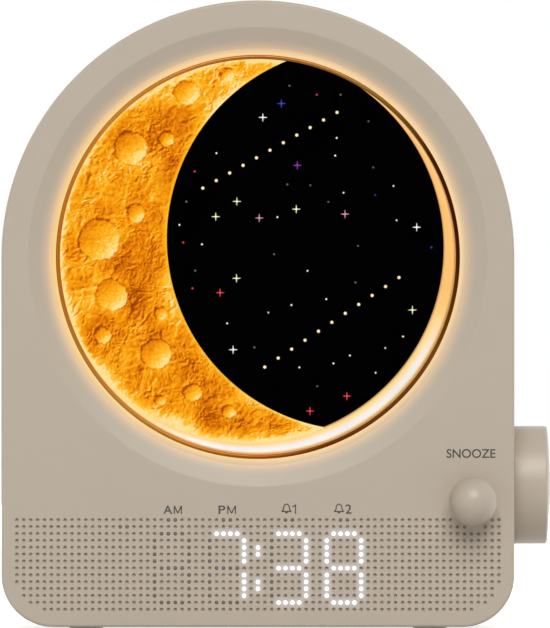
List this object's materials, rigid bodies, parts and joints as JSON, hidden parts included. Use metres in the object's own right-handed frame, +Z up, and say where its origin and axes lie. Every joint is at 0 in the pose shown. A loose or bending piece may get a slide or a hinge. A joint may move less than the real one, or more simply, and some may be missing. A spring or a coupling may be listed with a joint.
{
  "type": "light alarm clock",
  "caption": "Arched free-standing light alarm clock with a round crescent-moon lamp in a dish, a dot display behind a perforated front, a snooze push ball and a side dial.",
  "frame": {"origin": "on the ground, below the middle of the whole part's box", "axes": "+X to the right seen from the front, +Y from the front to the back, +Z up"},
  "size_m": [0.1598, 0.0702, 0.1824],
  "materials": {
    "housing_plastic": "fine satin, sand",
    "knob_plastic": "smooth satin, sand",
    "bezel_bronze": "gloss, dark bronze",
    "halo_light": "frosted, lit warm",
    "clear_lens": "polished clear",
    "opal_white": "opal white",
    "moon_amber": "rough relief, lit amber",
    "sky_black": "gloss black with pinhole stars",
    "rim_amber": "polished, lit amber",
    "circuit_board": "green solder mask",
    "screw_steel": "zinc plated",
    "display_film": "smoked film",
    "black_plastic": "moulded black",
    "socket_metal": "nickel plated",
    "ribbon_cable": "flat white cable",
    "foot_rubber": "matt",
    "speaker_paper": "black paper",
    "magnet_iron": "dark ferrite"
  },
  "bodies": {
    "housing": {"front_housing": "housing_plastic", "rear_housing": "housing_plastic", "lens_bezel": "bezel_bronze", "halo_guide": "halo_light", "lens_cover": "clear_lens", "lamp_diffuser": "opal_white", "moon_panel": "moon_amber", "sky_panel": "sky_black", "rim_reflector": "rim_amber", "halo_board": "circuit_board", "lamp_cup": "opal_white", "lamp_screw_1": "screw_steel", "lamp_screw_2": "screw_steel", "lamp_screw_3": "screw_steel", "lamp_screw_4": "screw_steel", "lamp_board": "circuit_board", "display_film": "display_film", "display_mask": "black_plastic", "display_board": "circuit_board", "display_screw_1": "screw_steel", "display_screw_2": "screw_steel", "display_screw_3": "screw_steel", "display_screw_4": "screw_steel", "snooze_switch": "black_plastic", "encoder_body": "socket_metal", "encoder_nut": "screw_steel", "encoder_board": "circuit_board", "main_board": "circuit_board", "main_board_screw_1": "screw_steel", "main_board_screw_2": "screw_steel", "main_board_screw_3": "screw_steel", "main_board_screw_4": "screw_steel", "display_ribbon": "ribbon_cable", "lamp_ribbon": "ribbon_cable", "usb_socket": "socket_metal", "coin_cell_holder": "black_plastic", "coin_cell": "socket_metal", "battery_door": "housing_plastic", "battery_screw": "screw_steel", "speaker_gasket": "foot_rubber", "speaker_basket": "socket_metal", "speaker_cone": "speaker_paper", "speaker_magnet": "magnet_iron", "case_screw_1": "screw_steel", "case_screw_2": "screw_steel", "case_screw_3": "screw_steel", "case_screw_4": "screw_steel", "foot_1": "foot_rubber", "foot_2": "foot_rubber", "foot_3": "foot_rubber", "foot_4": "foot_rubber"},
    "snooze_button": {"snooze_knob": "knob_plastic", "snooze_clip": "screw_steel", "snooze_plunger": "opal_white"},
    "dial_actuator": {"encoder_actuator": "black_plastic"},
    "dial": {"dial_knob": "knob_plastic", "encoder_shaft": "screw_steel"}
  },
  "joints": [
    {"name": "snooze_press", "type": "slide", "parent": "housing", "child": "snooze_button", "axis": [0, 1, 0], "range_m": [0, 0.001], "stiffness_N_per_m": 800},
    {"name": "dial_push", "type": "slide", "parent": "housing", "child": "dial_actuator", "axis": [-1, 0, 0], "range_m": [0, 0.0004], "stiffness_N_per_m": 4000},
    {"name": "dial_turn", "type": "hinge", "parent": "dial_actuator", "child": "dial", "pos_m": [0.07485, 0.00715, 0.0414], "axis": [1, 0, 0], "continuous": true}
  ]
}
